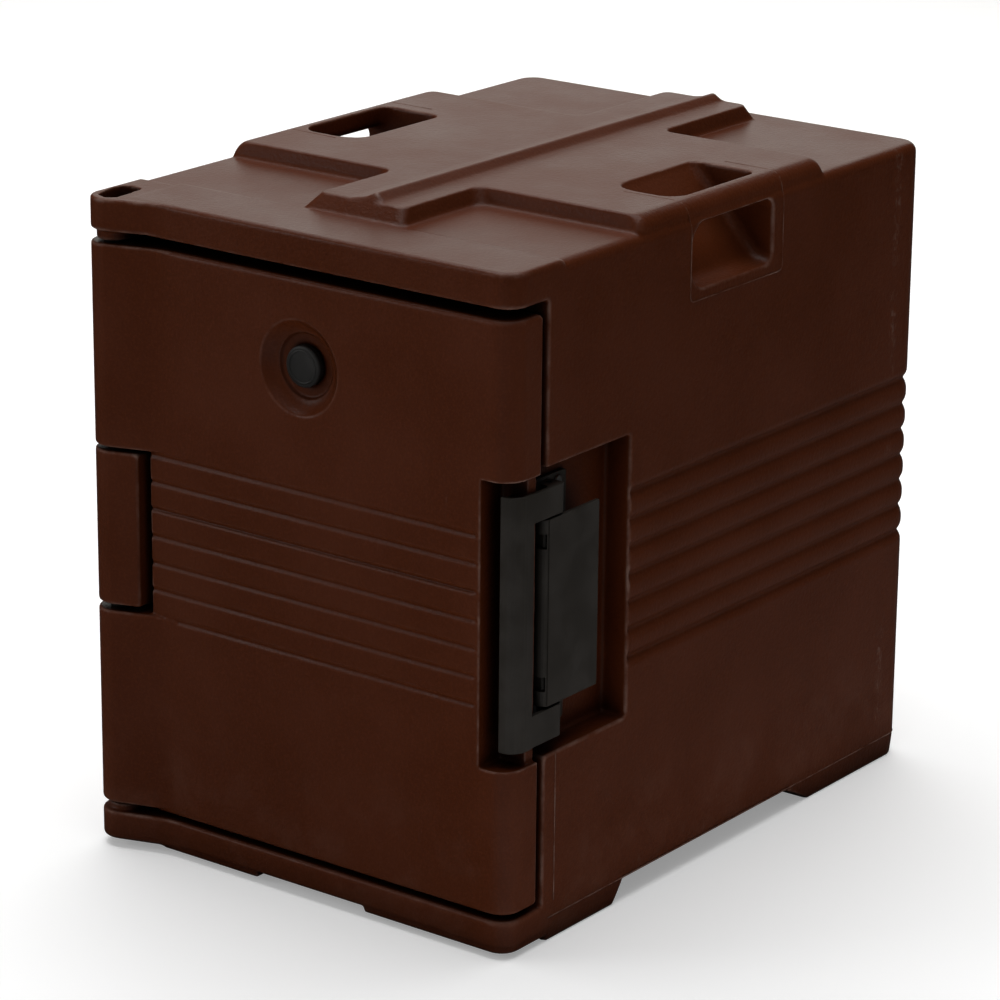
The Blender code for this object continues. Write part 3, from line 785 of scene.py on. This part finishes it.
def rubber(name):
    """The dull rubber of the door gasket and the vent seal."""
    material, tree, shader = new_material(name)
    place = object_place(tree)
    clouds = noise(tree, place, 60.0, 3.0, 0.6)
    link(tree, mix(tree, clouds, (0.008, 0.008, 0.008), (0.02, 0.019, 0.018)), shader.inputs["Base Color"])
    link(tree, span(tree, clouds, 0.2, 0.8, 0.55, 0.75), shader.inputs["Roughness"])
    link(tree, bump(tree, noise(tree, place, 700.0, 2.0), 0.2, 0.0002), shader.inputs["Normal"])
    return material


def rigid_foam(name):
    """Insulating foam with open cells."""
    material, tree, shader = new_material(name)
    place = object_place(tree)
    cells = tree.nodes.new("ShaderNodeTexVoronoi")
    cells.inputs["Scale"].default_value = 900.0
    link(tree, place, cells.inputs["Vector"])
    colour = ramp(tree, noise(tree, place, 25.0, 4.0), ((0.3, (0.6, 0.45, 0.22)), (0.7, (0.75, 0.62, 0.38))))
    link(tree, colour, shader.inputs["Base Color"])
    shader.inputs["Roughness"].default_value = 0.9
    link(tree, bump(tree, cells.outputs["Distance"], 0.4, 0.0004), shader.inputs["Normal"])
    return material


def dress(piece, material):
    piece.data.materials.clear()
    piece.data.materials.append(material)


by_slot = {
    "shell_plastic": moulded_plastic("shell_brown", BROWN, PALE_BROWN, DARK_BROWN),
    "foam": rigid_foam("foam_tan"),
    "steel": steel("steel_bright", (0.55, 0.54, 0.52), 0.32),
    "nylon": nylon("nylon_black", (0.0245, 0.0205, 0.0165), (0.034, 0.029, 0.0245)),
    "vent_plastic": nylon("vent_charcoal", (0.0165, 0.0158, 0.0147), (0.026, 0.0245, 0.023), 0.45),
    "gasket": rubber("rubber_black"),
}
for entry in frame["record"]["subparts"]:
    dress(frame["nodes"][entry["node"]], by_slot[entry["material_slot"]])
for piece in (skin, door, *mould_lines):
    dress(piece, by_slot["shell_plastic"])
dress(vent_rim, by_slot["vent_plastic"])

# ---- floor, lights and camera ----

FLOOR_REACH = 14.0


def stage_floor():
    """A flat pale floor, dark in reflections. A strip of it throws more light up on the right side."""
    body = bmesh.new()
    corners = [(-1, -1), (1, -1), (1, 1), (-1, 1)]
    body.faces.new([body.verts.new((x * FLOOR_REACH, y * FLOOR_REACH, 0)) for x, y in corners])
    mesh = bpy.data.meshes.new("floor")
    body.to_mesh(mesh)
    body.free()
    floor = put_in_scene("floor", mesh)

    material, tree, shader = new_material("floor_pale")
    place = object_place(tree)
    x, _, _ = coordinates(tree, place)
    rays = tree.nodes.new("ShaderNodeLightPath").outputs
    strip = times(tree, span(tree, x, 0.2, 0.3), span(tree, x, 0.35, 0.95, 1.0, 0.0))
    tone = mix(tree, noise(tree, place, 3.0, 2.0), (0.88, 0.88, 0.88), (0.92, 0.92, 0.92))
    reflected = mix(tree, strip, (0.02, 0.02, 0.02), (0.1, 0.1, 0.1))
    link(tree, mix(tree, rays["Is Glossy Ray"], tone, reflected), shader.inputs["Base Color"])
    shader.inputs["Emission Color"].default_value = (1, 1, 1, 1)
    glow = times(tree, times(tree, strip, rays["Is Diffuse Ray"]), 0.8)
    glow = maths(tree, "ADD", glow, times(tree, rays["Is Camera Ray"], 0.27))
    link(tree, glow, shader.inputs["Emission Strength"])
    shader.inputs["Roughness"].default_value = 0.8
    shader.inputs["Specular IOR Level"].default_value = 0.1
    mesh.materials.append(material)


def studio_world():
    """An even white surround: bright to the camera, dim to the object, and dimmer still in reflections."""
    world = bpy.data.worlds.new("studio")
    bpy.context.scene.world = world
    world.use_nodes = True
    tree = world.node_tree
    rays = tree.nodes.new("ShaderNodeLightPath").outputs
    level = maths(tree, "ADD", 0.16, times(tree, rays["Is Camera Ray"], 0.8))
    level = maths(tree, "SUBTRACT", level, times(tree, rays["Is Glossy Ray"], 0.12))
    background = tree.nodes["Background"]
    background.inputs["Color"].default_value = (1, 1, 1, 1)
    link(tree, level, background.inputs["Strength"])


def area_light(name, place, target, size, power, colour=(1, 1, 1)):
    data = bpy.data.lights.new(name, "AREA")
    data.shape = "RECTANGLE"
    data.size = size[0]
    data.size_y = size[1]
    data.energy = power
    data.color = colour
    lamp = put_in_scene(name, data)
    lamp.location = place
    lamp.rotation_euler = (Vector(target) - Vector(place)).to_track_quat("-Z", "Y").to_euler()


def camera_at_photo():
    """The photograph's viewpoint, seen from the object, with its slight roll and shift."""
    azimuth = math.radians(36.72)
    elevation = math.radians(17.92)
    roll = math.radians(0.62)
    distance = 3.749
    target = Vector((-0.005, BACK * MM, 0.300))
    level = Vector((math.cos(azimuth), math.sin(azimuth), 0))
    outwards = math.cos(elevation)
    back = Vector((math.sin(azimuth) * outwards, -math.cos(azimuth) * outwards, math.sin(elevation)))
    upward = back.cross(level)
    right = level * math.cos(roll) + upward * math.sin(roll)
    top = upward * math.cos(roll) - level * math.sin(roll)
    data = bpy.data.cameras.new("camera")
    data.sensor_width = 36.0
    data.lens = 146.65
    data.shift_x = -0.0139
    data.shift_y = -0.0131
    data.clip_end = 100
    camera = put_in_scene("camera", data)
    axes = Matrix((right, top, back)).transposed().to_4x4()
    camera.matrix_world = Matrix.Translation(target + back * distance) @ axes
    bpy.context.scene.camera = camera


stage_floor()
studio_world()
area_light("back_softbox", (-2.2, 3.4, 1.9), (0, 0.2, 0.6), (3.4, 2.2), 25, (1.0, 0.965, 0.9))
area_light("overhead", (-0.7, 0.6, 4.0), (-0.7, 0.6, 0), (4.4, 4.0), 170)
area_light("left_front", (-2.9, -2.9, 1.6), (0, -0.3, 0.3), (1.4, 1.4), 24)
area_light("right_front", (1.6, -2.7, 3.1), (0, -0.3, 0.45), (0.55, 0.55), 4)
camera_at_photo()
bpy.context.scene.view_settings.view_transform = "Standard"
bpy.context.view_layer.update()
